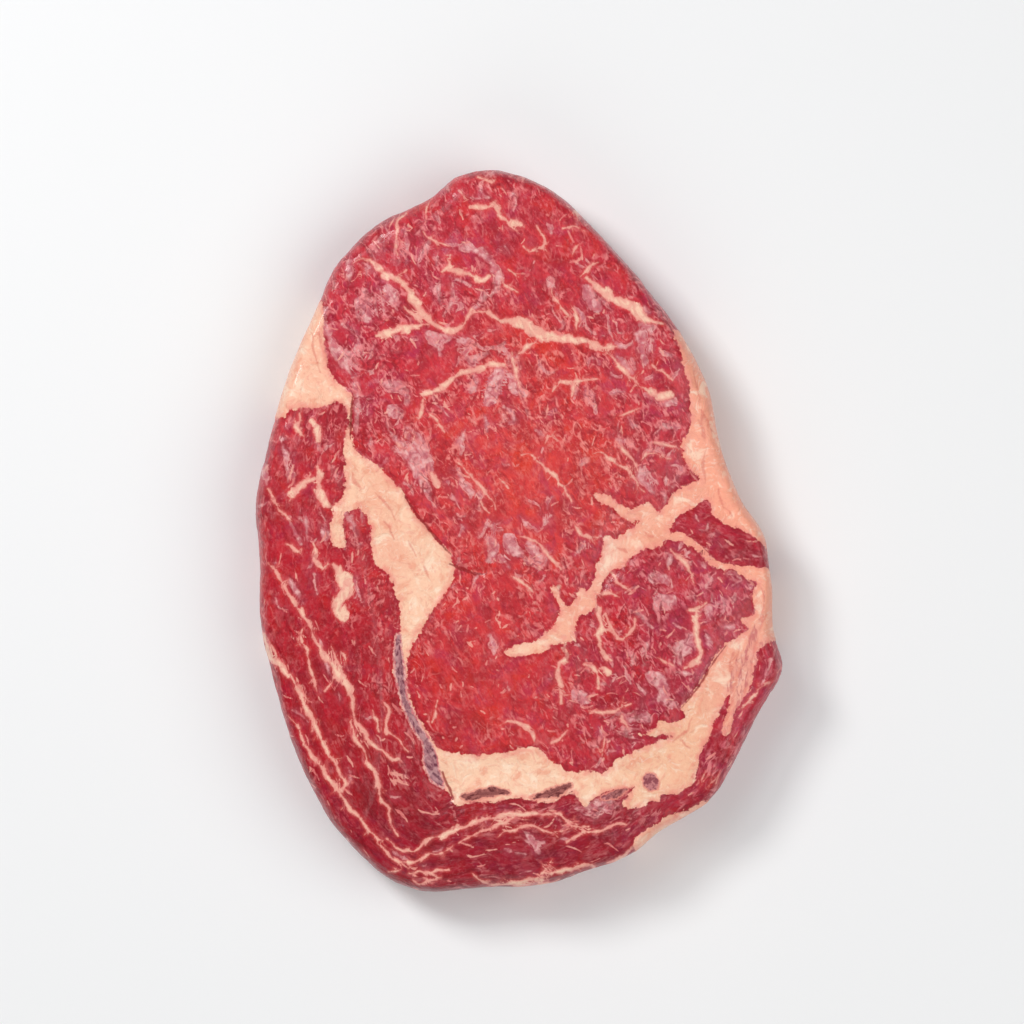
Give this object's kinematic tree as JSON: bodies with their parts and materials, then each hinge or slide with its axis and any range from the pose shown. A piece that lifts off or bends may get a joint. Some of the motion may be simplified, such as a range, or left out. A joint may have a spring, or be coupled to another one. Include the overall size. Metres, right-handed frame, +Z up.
{
  "type": "raw ribeye steak",
  "caption": "Thick raw boneless steak of several marbled muscles parted by fat seams, lying flat on its lower cut face.",
  "frame": {"origin": "on the surface the steak lies on, under the middle of its outline's box", "axes": "+X across the steak towards its fat cap, +Y along it from the narrow lower band of muscle to the top of the eye muscle, +Z up from the lower cut face to the upper one"},
  "size_m": [0.1334, 0.1824, 0.0226],
  "materials": {
    "raw_beef": "wet"
  },
  "bodies": {
    "root": {"steak": "raw_beef"}
  },
  "joints": []
}
